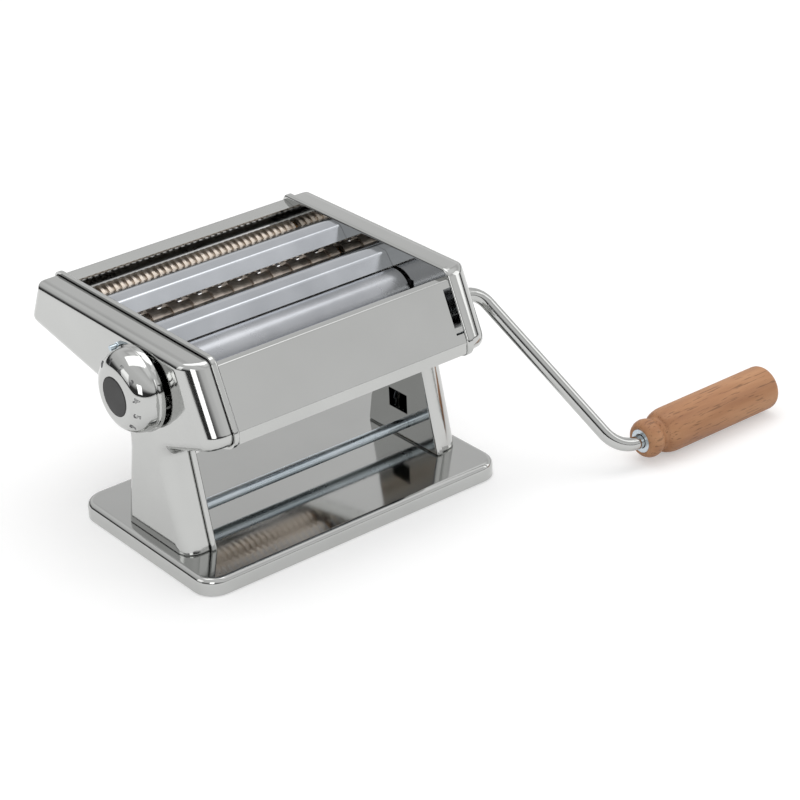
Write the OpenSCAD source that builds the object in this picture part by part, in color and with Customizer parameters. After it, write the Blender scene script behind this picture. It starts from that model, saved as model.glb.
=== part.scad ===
// Hand-cranked pasta roller machine with one smooth roller pair and two cutter pairs.
// X runs along the rollers with the crank at +X, the front faces -Y, and Z is up.
// The origin is on the table, under the middle of the base.

/* [Base] */
// Width of the base, along the rollers
base_w = 204; // [190:1:240]
// Depth of the base, front to back
base_d = 127; // [115:1:150]
// Height of the base's top face above the table
base_h = 10.5; // [9:0.5:14]
// Radius of the base's corners, seen from above
base_corner_r = 13; // [8:1:18]
// Radius of the pressed edge round the base's top
base_edge_r = 3.6; // [2:0.2:5]
// Sheet thickness of the base
base_t = 1.2; // [1:0.1:1.6]
// Gap between the base's skirt and the table
skirt_gap = 0.6; // [0.3:0.1:1]
// Diameter of a rubber foot
foot_d = 14; // [10:1:16]
// Distance of a foot's centre from the base's edges
foot_inset = 15; // [13:1:20]

/* [Head] */
// Clear width between the two side plates
throat_w = 153; // [135:1:170]
// Height of the side plates' top edge
head_top_z = 131.5; // [128:0.5:145]
// Front end of the top edge
head_top_front_y = -50.5; // [-56:0.5:-48]
// Back end of the top edge
head_top_rear_y = 99.5; // [98:0.5:104]
// Front lower corner of the head
head_front_y = -71; // [-78:0.5:-68]
// Height of the front lower corner
head_front_z = 86.5; // [82:0.5:90]
// Rear lower corner of the head
head_rear_y = 113; // [110:0.5:118]
// Height of the rear lower corner
head_rear_z = 101; // [98:0.5:103]

/* [Legs] */
// Front of the legs where they meet the head
neck_front_y = -23.5; // [-30:0.5:-20]
// Height of that front corner
neck_front_z = 69.5; // [62:0.5:74]
// Back of the legs where they meet the head
neck_rear_y = 13.5; // [10:0.5:18]
// Height of that rear corner
neck_rear_z = 83.5; // [80:0.5:86]
// Front of the legs at the base
leg_front_y = -37.5; // [-45:0.5:-34]
// Back of the legs at the base
leg_rear_y = 27; // [22:0.5:34]

/* [Side plates and covers] */
// Thickness of a side plate
plate_t = 1.5; // [1:0.1:2]
// Width of the rim turned outwards round a side plate
rim_w = 3.7; // [3:0.1:5]
// Thickness of that rim
rim_t = 1.2; // [1:0.1:1.6]
// Bend radius between plate and rim
rim_bend_r = 1.6; // [1:0.1:1.9]
// Distance from a side plate's inner face to its cover's outer face
cover_depth = 18.5; // [18:0.5:24]
// Sheet thickness of a cover
cover_t = 1.2; // [1:0.1:1.6]
// Gap between a cover's wall and the rim round it
cover_gap = 0.7; // [0.4:0.1:1.2]
// Soft edge of the cover at the front
cover_front_r = 13; // [8:0.5:14]
// Edge of the cover along the top
cover_top_r = 5; // [3:0.5:8]
// Edge of the cover elsewhere
cover_edge_r = 6; // [3:0.5:8]
// Width of the clamp's hole in each leg
clamp_w = 16.5; // [12:0.5:20]
// Height of the clamp's hole
clamp_h = 12; // [8:0.5:14]
// Height of the clamp hole's lower edge above the base's top face
clamp_lift = 17; // [12:0.5:20]
// Middle of the clamp's hole, front to back
clamp_y = -2.3; // [-6:0.5:2]

/* [Smooth rollers] */
// Diameter of a smooth roller
smooth_d = 28; // [24:0.5:29]
// Length of every roller's working face
face_w = 150; // [132:1:150]
// Axis of the rear smooth roller, front to back
smooth_y = -7; // [-9:0.5:-5]
// Height of the smooth rollers' axes
smooth_z = 104.7; // [102:0.5:107]
// Gap between the smooth rollers at the widest setting
roller_gap = 2.2; // [2.1:0.1:2.6]
// How far the rear roller moves towards the front one
gap_travel = 2; // [1:0.1:2]
// Diameter of the smooth rollers' journals
smooth_shaft_d = 13; // [12:0.5:14]
// Teeth of a smooth roller's gear
smooth_teeth = 14; // [12:1:16]
// Width of a smooth roller's gear
smooth_gear_w = 5; // [4:0.5:6]

/* [Cutter rollers] */
// Diameter over the cutting rings
cutter_d = 16; // [15.5:0.5:16.5]
// Diameter between the cutting rings
cutter_core_d = 12.8; // [12.4:0.2:13]
// How deep the two rollers' rings pass into each other
ring_lap = 1; // [0.6:0.1:1.4]
// Side clearance between neighbouring rings
ring_clear = 0.12; // [0.08:0.01:0.2]
// Width of a narrow strip of pasta
fine_strip = 2.13; // [1.8:0.01:3]
// Narrow rings on one roller
fine_rings = 35; // [20:1:35]
// Width of a wide strip of pasta
wide_strip = 6.8; // [5:0.1:7]
// Wide rings on one roller
wide_rings = 11; // [8:1:11]
// Middle between the wide cutters' axes, front to back
wide_y = 42.2; // [41:0.2:43]
// Height of the wide cutters' axes
wide_z = 106.7; // [105:0.5:108]
// Middle between the narrow cutters' axes, front to back
fine_y = 84; // [83:0.2:85]
// Height of the narrow cutters' axes
fine_z = 109.5; // [109:0.5:111]
// Diameter of the cutters' journals
cutter_shaft_d = 10.5; // [10:0.1:10.6]
// Teeth of a cutter's gear
cutter_teeth = 15; // [13:1:17]
// Width of a cutter's gear
cutter_gear_w = 5; // [4:0.5:7]

/* [Gap adjuster] */
// Diameter of the knob
knob_d = 48; // [42:1:52]
// Depth of the knob, from its back edge to its flat end
knob_depth = 16.5; // [14:0.5:20]
// Diameter of the cap in the knob's flat end
knob_cap_d = 22.4; // [18:0.2:24]
// Wall of the knob
knob_wall = 1.4; // [1.2:0.1:2]
// Gap between the knob's back edge and the cover
knob_gap = 1.6; // [1:0.1:3]
// How far the knob pulls out to clear its stop
knob_pull = 4; // [3:0.5:5]
// Turn of the knob from the widest to the finest setting, in degrees
knob_turn = 180; // [150:10:180]
// Settings marked on the knob
knob_steps = 6; // [5:1:9]
// Diameter of the adjuster's shaft
adjuster_d = 8; // [6:0.5:9]
// Smallest radius of the snail cam
cam_r = 9; // [8:0.5:10]
// Diameter of the yoke's follower pin
follower_d = 4; // [3:0.5:5]

/* [Crank] */
// Diameter of the crank's bar
crank_d = 8; // [6:0.5:8]
// Distance from the crank's axis to the grip's axis
crank_throw = 114; // [95:1:130]
// Distance along the rollers from the cover to the first bend's corner
crank_out = 13.3; // [12:0.1:20]
// Distance along the rollers between the two bends' corners
crank_reach = 44.5; // [35:0.5:60]
// Bend radius next to the machine, to the bar's centre line
bend1_r = 14; // [10:1:16]
// Bend radius next to the grip
bend2_r = 20; // [12:1:24]
// Direction of the crank at rest, in degrees from straight back
crank_angle = -127.5; // [-135:0.5:-120]
// Depth of the crank in its socket
socket_depth = 16; // [12:1:16]
// Length of the wooden grip
grip_len = 101; // [80:1:120]
// Diameter of the wooden grip
grip_d = 26.6; // [22:0.2:27]
// Diameter of the bead at the grip's inner end
bead_d = 22.8; // [18:0.2:24]
// Diameter of the groove behind the bead
groove_d = 19.6; // [16:0.2:21]
// Diameter of the steel ring in the grip's inner end
ferrule_d = 14; // [12:0.5:16]
// Diameter of the spindle inside the grip
spindle_d = 6; // [5:0.5:6]

/* [Clearances] */
// Radial clearance of a running fit
fit = 0.05; // [0.03:0.01:0.1]
// Gap between pieces that move past each other
clear = 0.4; // [0.3:0.05:0.6]
// Gap between fixed pieces that meet at an edge
seat = 0.1; // [0.05:0.05:0.2]

/* [Hidden] */

$fn = 48;
arc_n = 6;
plate_x = throat_w / 2;
cover_x = plate_x + cover_depth;
rim_tip_x = plate_x + rim_w;
plate_out_x = plate_x + plate_t;
cover_in_x = plate_out_x + seat;

front_smooth_y = smooth_y - smooth_d - roller_gap;
cutter_gap = cutter_d - ring_lap;
wide_front_y = wide_y - cutter_gap / 2;
wide_rear_y = wide_y + cutter_gap / 2;
fine_front_y = fine_y - cutter_gap / 2;
fine_rear_y = fine_y + cutter_gap / 2;

bush_wall = 1.5;
bush_flange_w = 1;
bush_flange_t = 1.2;
gear_x = plate_out_x + bush_flange_t + clear;
sheet_t = 1;
cover_inset = rim_t + cover_gap;
tab_l = plate_t - seat;

// ---- Shapes in a plane -------------------------------------------------------------------------

function unit(v) = v / norm(v);
function flat(lists) = [for (l = lists) for (p = l) p];

// Points of the arc of radius r that rounds the corner q between p and s.
function corner(p, q, s, r, n = arc_n) =
    let (u = unit(p - q), v = unit(s - q), half = acos(u * v) / 2,
        c = q + unit(u + v) * r / sin(half), start = q + u * r / tan(half) - c,
        a = atan2(start[1], start[0]), turn = sign(cross(q - p, s - q)) * (180 - 2 * half))
    [for (i = [0 : n]) c + r * [cos(a + turn * i / n), sin(a + turn * i / n)]];

// A closed outline whose corners are rounded; each corner is [y, z, radius].
function rounded(v) = let (n = len(v)) flat([for (i = [0 : n - 1])
    let (a = v[(i + n - 1) % n], b = v[i], c = v[(i + 1) % n])
    corner([a[0], a[1]], [b[0], b[1]], [c[0], c[1]], b[2])]);

// The same outline with edge i, from corner i to corner i + 1, moved inwards by d[i].
function shifted(v, d) = let (n = len(v)) [for (i = [0 : n - 1])
    let (a = v[(i + n - 1) % n], b = v[i], c = v[(i + 1) % n],
        e = unit([b[0] - a[0], b[1] - a[1]]), f = unit([c[0] - b[0], c[1] - b[1]]),
        p = [b[0], b[1]] + d[(i + n - 1) % n] * [-e[1], e[0]],
        q = [b[0], b[1]] + d[i] * [-f[1], f[0]],
        k = cross(q - p, f) / cross(e, f), m = min(d[(i + n - 1) % n], d[i]),
        r = cross(e, f) > 0 ? max(b[2] - m, 0.5) : b[2] + m)
    [p[0] + k * e[0], p[1] + k * e[1], r]];
function inset(v, d) = shifted(v, [for (c = v) d]);

// An open path with its inner corners rounded.
function bent(path, r) = let (n = len(path))
    concat([path[0]], flat([for (i = [1 : n - 2]) corner(path[i - 1], path[i], path[i + 1], r)]),
        [path[n - 1]]);

// The outline of a sheet of thickness t that follows a path, on the path's left side.
function sheet(path, t) = let (n = len(path),
    nrm = [for (i = [0 : n - 2]) let (e = unit(path[i + 1] - path[i])) [-e[1], e[0]]],
    off = [for (i = [0 : n - 1]) let (a = nrm[max(i - 1, 0)], b = nrm[min(i, n - 2)])
        path[i] + t * (a + b) / (1 + a * b)])
    concat([for (i = [n - 1 : -1 : 0]) off[i]], path);

// ---- Shapes in space ---------------------------------------------------------------------------

// Stands a shape drawn in (y, z) on the plane x, with its height along +X.
module at_x(x) {
    translate([x, 0, 0]) rotate([90, 0, 90]) children();
}

// A shaft, bore or disc along X from x0 to x1.
module rod(y, z, x0, x1, d) {
    translate([x0, y, z]) rotate([0, 90, 0]) cylinder(h = x1 - x0, d = d);
}

module left_side() {
    mirror([1, 0, 0]) children();
}

// Skin through closed outlines of equal length; each ring is [height, outline]. The fans are the
// lists of points that cover an end, each of which sees all of its points from its first.
module loft(rings, fans) {
    n = len(rings[0][1]);
    m = len(rings);
    top = (m - 1) * n;
    points = flat([for (r = rings) [for (p = r[1]) [p[0], p[1], r[0]]]]);
    walls = flat([for (k = [0 : m - 2]) flat([for (i = [0 : n - 1])
        let (j = (i + 1) % n, a = k * n, b = a + n)
        [[a + i, b + i, b + j], [a + i, b + j, a + j]]])]);
    polyhedron(points, concat(fans, [for (f = fans)
        concat([top + f[0]], [for (i = [len(f) - 1 : -1 : 1]) top + f[i]])], walls));
}

// How far an edge of radius r has come in at the depth x below the face.
function roll_in(r, x) = x >= r ? 0 : r - sqrt(r * r - (r - x) * (r - x));

// A pressed form: outline v with a face at height h, whose edge i is rounded with radius radii[i].
module pressed(v, radii, h, fans) {
    depths = concat([for (a = [90 : -15 : 0]) max(radii) * (1 - sin(a))], [h]);
    loft([for (i = [len(depths) - 1 : -1 : 0])
        [h - depths[i], rounded(shifted(v, [for (r = radii) roll_in(r, depths[i])]))]], fans);
}

// ---- The side outline, seen from the right -----------------------------------------------------

// Corners run round the leg and the head: [y, z, corner radius].
side_v = [[leg_rear_y, base_h, 1], [neck_rear_y, neck_rear_z, 22], [head_rear_y, head_rear_z, 8],
    [head_top_rear_y, head_top_z, 5], [head_top_front_y, head_top_z, 7],
    [head_front_y, head_front_z, 9], [neck_front_y, neck_front_z, 5], [leg_front_y, base_h, 1]];
side_edge = [for (v = side_v) rim_bend_r];

// How far each edge moves in by d; the foot's edge moves out, so that the foot stays open.
function inwards(d) = [for (i = [0 : len(side_v) - 1]) i == len(side_v) - 1 ? -1 : d];

cover_v = shifted(side_v, [for (d = inwards(cover_inset)) max(d, seat)]);
cover_radii = [cover_edge_r, cover_edge_r, cover_edge_r, cover_top_r, cover_front_r, cover_edge_r,
    10, 0.6];

// Two fans that cover the side outline: the head, seen from the front corner, and the leg, seen
// from the foot of the rear neck.
corner_n = arc_n + 1;
side_fans = [concat([6 * corner_n - 1, 6 * corner_n], [for (i = [corner_n : 6 * corner_n - 2]) i]),
    concat([corner_n], [for (i = [6 * corner_n : 8 * corner_n - 1]) i], [for (i = [0 : corner_n - 1]) i])];

// Y of the head's front face and rear face at height z.
function front_y(z) = head_top_front_y
    - (head_top_front_y - head_front_y) * (head_top_z - z) / (head_top_z - head_front_z);
function rear_y(z) = head_top_rear_y
    + (head_rear_y - head_top_rear_y) * (head_top_z - z) / (head_top_z - head_rear_z);

// ---- Sheet-metal paths across the head, in (y, z) ----------------------------------------------

panel_in = 1.4;
panel_top_z = head_top_z - 5;
panel_low_z = head_front_z + 7;
front_panel_path = [[front_y(panel_top_z) + panel_in + 5.5, panel_top_z - 3],
    [front_y(panel_top_z) + panel_in + 5.5, panel_top_z],
    [front_y(panel_top_z) + panel_in, panel_top_z], [front_y(panel_low_z) + panel_in, panel_low_z],
    [front_y(panel_low_z) + panel_in + 0.8, head_front_z - 0.2]];

rear_top_z = head_top_z - 3;
rear_low_z = head_rear_z + 3.6;
rear_lip = 9.5;
rear_panel_path = [[rear_y(rear_low_z) - panel_in - 2.4, rear_low_z - 1.2],
    [rear_y(rear_low_z) - panel_in, rear_low_z], [rear_y(rear_top_z) - panel_in, rear_top_z],
    [rear_y(rear_top_z) - panel_in - rear_lip, rear_top_z - 2]];

// A guide leads dough down its long rear slope into the cutters behind it.
guide_rise = 9.8;
guide_slope = 21.3;
guide_top = 10.4;
guide_drop = 5.6;
front_guide_z = 116.8;
front_guide_y = wide_y - 7.7;
rear_guide_z = 119.6;
rear_guide_y = fine_y - 7.3;

// Rear edge, crest, front brow and front edge of a guide whose rear edge is at (y, z).
function guide_path(y, z, fall) = [[y, z], [y - guide_slope, z + guide_rise],
    [y - guide_slope - guide_top, z + guide_rise - 0.4],
    [y - guide_slope - guide_top - guide_drop, z + guide_rise - 0.4 - fall]];
front_guide_path = guide_path(front_guide_y, front_guide_z, 7.4);
rear_guide_path = guide_path(rear_guide_y, rear_guide_z, 7);

// ---- Base --------------------------------------------------------------------------------------

base_v = [[base_w / 2, -base_d / 2, base_corner_r], [base_w / 2, base_d / 2, base_corner_r],
    [-base_w / 2, base_d / 2, base_corner_r], [-base_w / 2, -base_d / 2, base_corner_r]];
base_fans = [[for (i = [0 : len(base_v) * corner_n - 1]) i]];
foot_x = base_w / 2 - foot_inset;
foot_y = base_d / 2 - foot_inset;
flange_w = 12;
flange_t = 1.5;
screw_d = 4;
screw_x = plate_out_x + flange_w / 2 + 1;
screw_ys = [leg_front_y + 16, leg_rear_y - 12];

module base_plate() {
    color("gainsboro") difference() {
        translate([0, 0, skirt_gap])
            pressed(base_v, [for (i = base_v) base_edge_r], base_h - skirt_gap, base_fans);
        translate([0, 0, skirt_gap - 1]) pressed(inset(base_v, base_t),
            [for (i = base_v) base_edge_r - base_t], base_h - skirt_gap - base_t + 1, base_fans);
        for (s = [-1, 1], y = screw_ys)
            translate([s * screw_x, y, 0]) cylinder(h = base_h + 1, d = screw_d + 0.4);
    }
}

module rubber_feet() {
    color("dimgray") for (sx = [-1, 1], sy = [-1, 1]) translate([sx * foot_x, sy * foot_y, 0]) {
        cylinder(h = 1.5, d1 = foot_d - 1.5, d2 = foot_d, $fn = 32);
        translate([0, 0, 1.5]) cylinder(h = base_h - base_t - seat - 1.5, d = foot_d);
    }
}

// ---- Side plates and covers --------------------------------------------------------------------

// Slots in which the ends of scrapers, combs and guides sit: [y, z, angle, width].
comb_t = 0.8;
comb_drop = cutter_core_d / 2 + 0.5 + comb_t / 2;
comb_strip = 5;
comb_start = sqrt(pow(cutter_d / 2, 2) - pow(comb_drop - comb_t, 2)) + 0.8;
comb_mid = comb_start + comb_strip / 2;
comb_tab = 3.6;
comb_tilt = 25;
comb_side = 0.25;

// Stands a comb at its roller: s is +1 behind the roller and -1 in front of it.
module at_comb(y, z, s) {
    translate([0, y, z]) rotate([s * comb_tilt, 0, 0]) translate([0, 0, -comb_drop - comb_t / 2])
        children();
}

module comb_slot(y, z, s) {
    at_comb(y, z, s) translate([plate_x - 1, s * comb_mid - comb_tab / 2 - seat, -seat])
        cube([plate_t + 2, comb_tab + 2 * seat, comb_t + 2 * seat]);
}

scraper_t = 0.8;
scraper_w = 13;
scraper_tab = 5;
scraper_tilt = 52;

// Lays the front scraper's blade along the front smooth roller's lower front side.
module at_scraper() {
    r = smooth_d / 2 + clear + scraper_t / 2;
    back = 0.35 * scraper_w;
    translate([0, front_smooth_y - r * cos(scraper_tilt) - back * sin(scraper_tilt),
        smooth_z - r * sin(scraper_tilt) + back * cos(scraper_tilt)])
        rotate([scraper_tilt - 90, 0, 0]) children();
}

rod_d = 6;
head_rod_y = head_front_y + 13;
head_rod_z = head_front_z + 6;
tie_d = 6.5;
tie_y = -8;
tie_z = base_h + 10.5;

yoke_h = 22;
yoke_w = 24;
yoke_bar_d = 7;
yoke_bar_z = smooth_z - smooth_d / 2 - 8;
yoke_flange = 2.5;

module bore_in_plate(y, z, d) {
    rod(y, z, plate_x - 1, plate_out_x + 1, d);
}

module side_plate() {
    difference() {
        union() {
            difference() {
                at_x(plate_x) mirror([0, 0, 1]) translate([0, 0, -rim_w])
                    pressed(side_v, side_edge, rim_w, side_fans);
                at_x(plate_out_x) linear_extrude(rim_w) polygon(rounded(shifted(side_v, inwards(rim_t))));
            }
            translate([plate_out_x - seat, leg_front_y + 6, base_h])
                cube([flange_w, leg_rear_y - leg_front_y - 12, flange_t]);
            translate([plate_out_x - seat, smooth_y - yoke_bar_d - spring_l - lug_t,
                spring_z - lug_w / 2])
                cube([spring_x + lug_w / 2 - plate_out_x + seat, lug_t, lug_w]);
        }
        bore_in_plate(front_smooth_y, smooth_z, smooth_shaft_d + 2 * bush_wall);
        for (y = [wide_front_y, wide_rear_y])
            bore_in_plate(y, wide_z, cutter_shaft_d + 2 * bush_wall);
        for (y = [fine_front_y, fine_rear_y])
            bore_in_plate(y, fine_z, cutter_shaft_d + 2 * bush_wall);
        bore_in_plate(head_rod_y, head_rod_z, rod_d - 1.5);
        bore_in_plate(tie_y, tie_z, tie_d - 1.5);
        translate([plate_x - 1, smooth_y - yoke_w / 2 - gap_travel - clear, smooth_z - yoke_h / 2])
            cube([plate_t + 2, yoke_w + gap_travel + 2 * clear, yoke_h]);
        translate([plate_x - 1, smooth_y - yoke_bar_d / 2 - gap_travel - clear,
            yoke_bar_z - yoke_bar_d / 2 - clear])
            cube([plate_t + 2, yoke_bar_d + gap_travel + 2 * clear, smooth_z - yoke_bar_z]);
        translate([plate_x - 1, clamp_y - clamp_w / 2, base_h + clamp_lift])
            cube([plate_t + 2, clamp_w, clamp_h]);
        comb_slot(wide_front_y, wide_z, -1);
        comb_slot(wide_rear_y, wide_z, 1);
        comb_slot(fine_front_y, fine_z, -1);
        comb_slot(fine_rear_y, fine_z, 1);
        at_scraper() translate([plate_x - 1, -scraper_tab / 2 - seat, -scraper_t / 2 - seat])
            cube([plate_t + 2, scraper_tab + 2 * seat, scraper_t + 2 * seat]);
        for (y = screw_ys)
            translate([screw_x, y, base_h - 1]) cylinder(h = flange_t + 2, d = screw_d + 0.4);
    }
}

module left_side_plate() {
    color("silver") left_side() side_plate();
}

module right_side_plate() {
    color("silver") side_plate();
}

// Open towards the plate; its walls stand inside the plate's rim.
module cover_shell() {
    h = cover_x - cover_in_x;
    difference() {
        at_x(cover_in_x) pressed(cover_v, cover_radii, h, side_fans);
        at_x(cover_in_x - 1) pressed(shifted(cover_v, inwards(cover_t)),
            [for (r = cover_radii) max(r - cover_t, 0.5)], h - cover_t + 1, side_fans);
    }
}

socket_hole_d = smooth_shaft_d + 2;

module left_cover() {
    color("gainsboro") left_side() difference() {
        cover_shell();
        rod(smooth_y, smooth_z, cover_x - 5, cover_x + 1, adjuster_d + 2 * bush_wall);
        rod(smooth_y + index_r * cos(index_a), smooth_z + index_r * sin(index_a), cover_x - 5,
            cover_x + 1, 3.4);
    }
}

module right_cover() {
    color("gainsboro") difference() {
        cover_shell();
        for (p = [[front_smooth_y, smooth_z], [wide_front_y, wide_z], [fine_front_y, fine_z]])
            rod(p[0], p[1], cover_x - 15, cover_x + 1, socket_hole_d);
    }
}

// ---- Sheet metal across the head ---------------------------------------------------------------

module across(outline, w) {
    at_x(-w / 2) linear_extrude(w) polygon(outline);
}

panel_w = throat_w - 2 * seat;
panel_side_gap = 4.5;

module front_panel() {
    path = bent(front_panel_path, 1.2);
    window_z = [head_front_z + 12, panel_top_z - 4];
    color("whitesmoke") difference() {
        across(sheet(path, sheet_t), panel_w);
        for (s = [-1, 1]) translate([s * (panel_w / 2 - panel_side_gap / 2), head_front_y, 0])
            translate([-panel_side_gap / 2 - 0.5, -10, window_z[0]])
            cube([panel_side_gap + 1, 60, window_z[1] - window_z[0]]);
    }
}

module rear_panel() {
    color("whitesmoke") across(sheet(bent(rear_panel_path, 1.5), sheet_t), panel_w);
}

module guide(path) {
    rounded_path = concat([path[0]], corner(path[0], path[1], path[2], 14, 5),
        corner(path[1], path[2], path[3], 3, 4), [path[3]]);
    across(sheet(rounded_path, sheet_t), panel_w);
}

module front_guide() {
    color("lightgray") guide(front_guide_path);
}

module rear_guide() {
    color("lightgray") guide(rear_guide_path);
}

// ---- Rods, nuts and screws ---------------------------------------------------------------------

rod_end_l = 6;

// A rod between the plates; its thinner ends pass through them and carry the nuts.
module cross_rod(y, z, d) {
    rod(y, z, -plate_x + seat, plate_x - seat, d);
    rod(y, z, -plate_out_x - rod_end_l, plate_out_x + rod_end_l, d - 1.5 - 2 * seat);
}

module tie_rod() {
    color("lightsteelblue") cross_rod(tie_y, tie_z, tie_d);
}

module head_rod() {
    color("lightsteelblue") cross_rod(head_rod_y, head_rod_z, rod_d);
}

nut_w = 8;
nut_h = 3.5;

module nut(y, z, d) {
    translate([plate_out_x + seat, y, z]) rotate([0, 90, 0]) difference() {
        cylinder(h = nut_h, d = nut_w / cos(30), $fn = 6);
        translate([0, 0, -1]) cylinder(h = nut_h + 2, d = d - 1.5);
    }
}

module rod_nuts() {
    color("silver") for (s = [0, 1]) mirror([s, 0, 0]) {
        nut(tie_y, tie_z, tie_d);
        nut(head_rod_y, head_rod_z, rod_d);
    }
}

module base_screws() {
    color("silver") for (s = [-1, 1], y = screw_ys) translate([s * screw_x, y, 0]) {
        translate([0, 0, base_h - base_t - 2.2]) cylinder(h = 2.1, d = 7.5);
        translate([0, 0, base_h - base_t - 0.5]) cylinder(h = base_t + flange_t + 5, d = screw_d);
        translate([0, 0, base_h + flange_t + seat]) difference() {
            cylinder(h = 3, d = 7 / cos(30), $fn = 6);
            translate([0, 0, -1]) cylinder(h = 5, d = screw_d - 0.2);
        }
    }
}

// ---- Bushes ------------------------------------------------------------------------------------

module bush(y, z, d) {
    difference() {
        union() {
            rod(y, z, plate_x, plate_out_x + seat, d + 2 * bush_wall - 2 * seat);
            rod(y, z, plate_out_x + seat, plate_out_x + seat + bush_flange_t,
                d + 2 * bush_wall + bush_flange_w);
        }
        rod(y, z, plate_x - 1, plate_out_x + bush_flange_t + 2, d + 2 * fit);
    }
}

module both_bushes(y, z, d) {
    for (s = [0, 1]) mirror([s, 0, 0]) bush(y, z, d);
}

module smooth_bushes() {
    color("peru") both_bushes(front_smooth_y, smooth_z, smooth_shaft_d);
}

module wide_bushes() {
    color("peru") for (y = [wide_front_y, wide_rear_y]) both_bushes(y, wide_z, cutter_shaft_d);
}

module fine_bushes() {
    color("peru") for (y = [fine_front_y, fine_rear_y]) both_bushes(y, fine_z, cutter_shaft_d);
}

// ---- Scrapers and combs ------------------------------------------------------------------------

module front_scraper() {
    color("lightgray") at_scraper() translate([0, 0, -scraper_t / 2]) linear_extrude(scraper_t) {
        translate([-panel_w / 2, -scraper_w / 2]) square([panel_w, scraper_w]);
        translate([-plate_x - tab_l, -scraper_tab / 2]) square([2 * plate_x + 2 * tab_l, scraper_tab]);
    }
}

// Stands behind the yoke bar and moves with it, its edge close under the rear roller.
module rear_scraper() {
    y = smooth_y + yoke_bar_d / 2 + seat;
    z0 = yoke_bar_z - yoke_bar_d / 2;
    z1 = smooth_z - sqrt(pow(smooth_d / 2 + clear, 2) - pow(y - smooth_y, 2)) - seat;
    color("lightgray") translate([-face_w / 2, y, z0]) cube([face_w, scraper_t, z1 - z0]);
}

// Left end of ring i; the two rollers of a pair are staggered by one strip.
function ring_x(i, strip, rings, stagger) = -strip * rings + strip * (2 * i + stagger) + ring_clear;

// A strip beside a cutter whose fingers lie in the gaps between its rings.
module comb(y, z, strip, rings, stagger, s) {
    gap_x = 1 - stagger;
    finger_w = strip - 2 * comb_side;
    color("silver") at_comb(y, z, s) mirror([0, (1 - s) / 2, 0]) linear_extrude(comb_t) {
        translate([-panel_w / 2, comb_start]) square([panel_w, comb_strip]);
        translate([-plate_x - tab_l, comb_mid - comb_tab / 2])
            square([2 * plate_x + 2 * tab_l, comb_tab]);
        for (i = [0 : rings - 1])
            translate([ring_x(i, strip, rings, gap_x) - ring_clear + comb_side, -2])
                square([finger_w, comb_start + 3]);
    }
}

module wide_comb_front() {
    comb(wide_front_y, wide_z, wide_strip, wide_rings, 0, -1);
}

module wide_comb_rear() {
    comb(wide_rear_y, wide_z, wide_strip, wide_rings, 1, 1);
}

module fine_comb_front() {
    comb(fine_front_y, fine_z, fine_strip, fine_rings, 0, -1);
}

module fine_comb_rear() {
    comb(fine_rear_y, fine_z, fine_strip, fine_rings, 1, 1);
}

// ---- Gears -------------------------------------------------------------------------------------

function inv(a) = tan(a) * 180 / PI - a;

// Half the angle that a tooth covers at radius r, for pitch radius rp and n teeth.
function half_tooth(r, rp, n, slack) = let (rb = rp * cos(20), a = r > rb ? acos(rb / r) : 0)
    90 / n * (1 - slack) + inv(20) - inv(a);

function gear_outline(n, rp, add, ded, slack, turn) = let (rb = rp * cos(20),
    lo = max(rp - ded, rb), hi = rp + add, radii = [for (k = [0 : 4]) lo + (hi - lo) * k / 4])
    flat([for (i = [0 : n - 1]) let (a = turn + 360 * i / n)
        concat([(rp - ded) * [cos(a - half_tooth(lo, rp, n, slack)), sin(a - half_tooth(lo, rp, n, slack))]],
            [for (r = radii) let (h = half_tooth(r, rp, n, slack)) r * [cos(a - h), sin(a - h)]],
            [for (k = [4 : -1 : 0]) let (r = radii[k], h = half_tooth(r, rp, n, slack))
                r * [cos(a + h), sin(a + h)]],
            [(rp - ded) * [cos(a + half_tooth(lo, rp, n, slack)), sin(a + half_tooth(lo, rp, n, slack))]])]);

// A gear on its shaft: a tooth points along +Y when phase is 0 and a gap does when it is 0.5.
module gear(y, z, x0, w, n, rp, add, ded, bore, phase) {
    translate([0, y, z]) at_x(x0) difference() {
        linear_extrude(w) polygon(gear_outline(n, rp, add, ded, gear_slack, phase * 360 / n));
        translate([0, 0, -1]) cylinder(h = w + 2, d = bore);
    }
}

gear_slack = 0.1;
smooth_rp = (smooth_d + roller_gap - gap_travel) / 2;
smooth_m = 2 * smooth_rp / smooth_teeth;
cutter_rp = cutter_gap / 2;
cutter_m = 2 * cutter_rp / cutter_teeth;

// Phase of the rear gear that puts a gap opposite the front gear's tooth.
function mate_phase(n) = n % 2 == 0 ? 0.5 : 0;

module smooth_gear(y, phase) {
    color("dimgray") gear(y, smooth_z, gear_x + yoke_flange, smooth_gear_w, smooth_teeth, smooth_rp,
        0.85 * smooth_m, smooth_m, smooth_shaft_d, phase);
}

module front_smooth_gear() {
    smooth_gear(front_smooth_y, 0);
}

module rear_smooth_gear() {
    smooth_gear(smooth_y, mate_phase(smooth_teeth));
}

module cutter_gear(y, z, phase) {
    color("dimgray") gear(y, z, gear_x, cutter_gear_w, cutter_teeth, cutter_rp, 0.9 * cutter_m,
        1.15 * cutter_m, cutter_shaft_d, phase);
}

module wide_gear_front() {
    cutter_gear(wide_front_y, wide_z, 0);
}

module wide_gear_rear() {
    cutter_gear(wide_rear_y, wide_z, mate_phase(cutter_teeth));
}

module fine_gear_front() {
    cutter_gear(fine_front_y, fine_z, 0);
}

module fine_gear_rear() {
    cutter_gear(fine_rear_y, fine_z, mate_phase(cutter_teeth));
}

// ---- Rollers -----------------------------------------------------------------------------------

socket_end_x = cover_x - 1;
socket_d = crank_d + 2 * fit;
slot_w = 2.9;
slot_l = 3.5;

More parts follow.
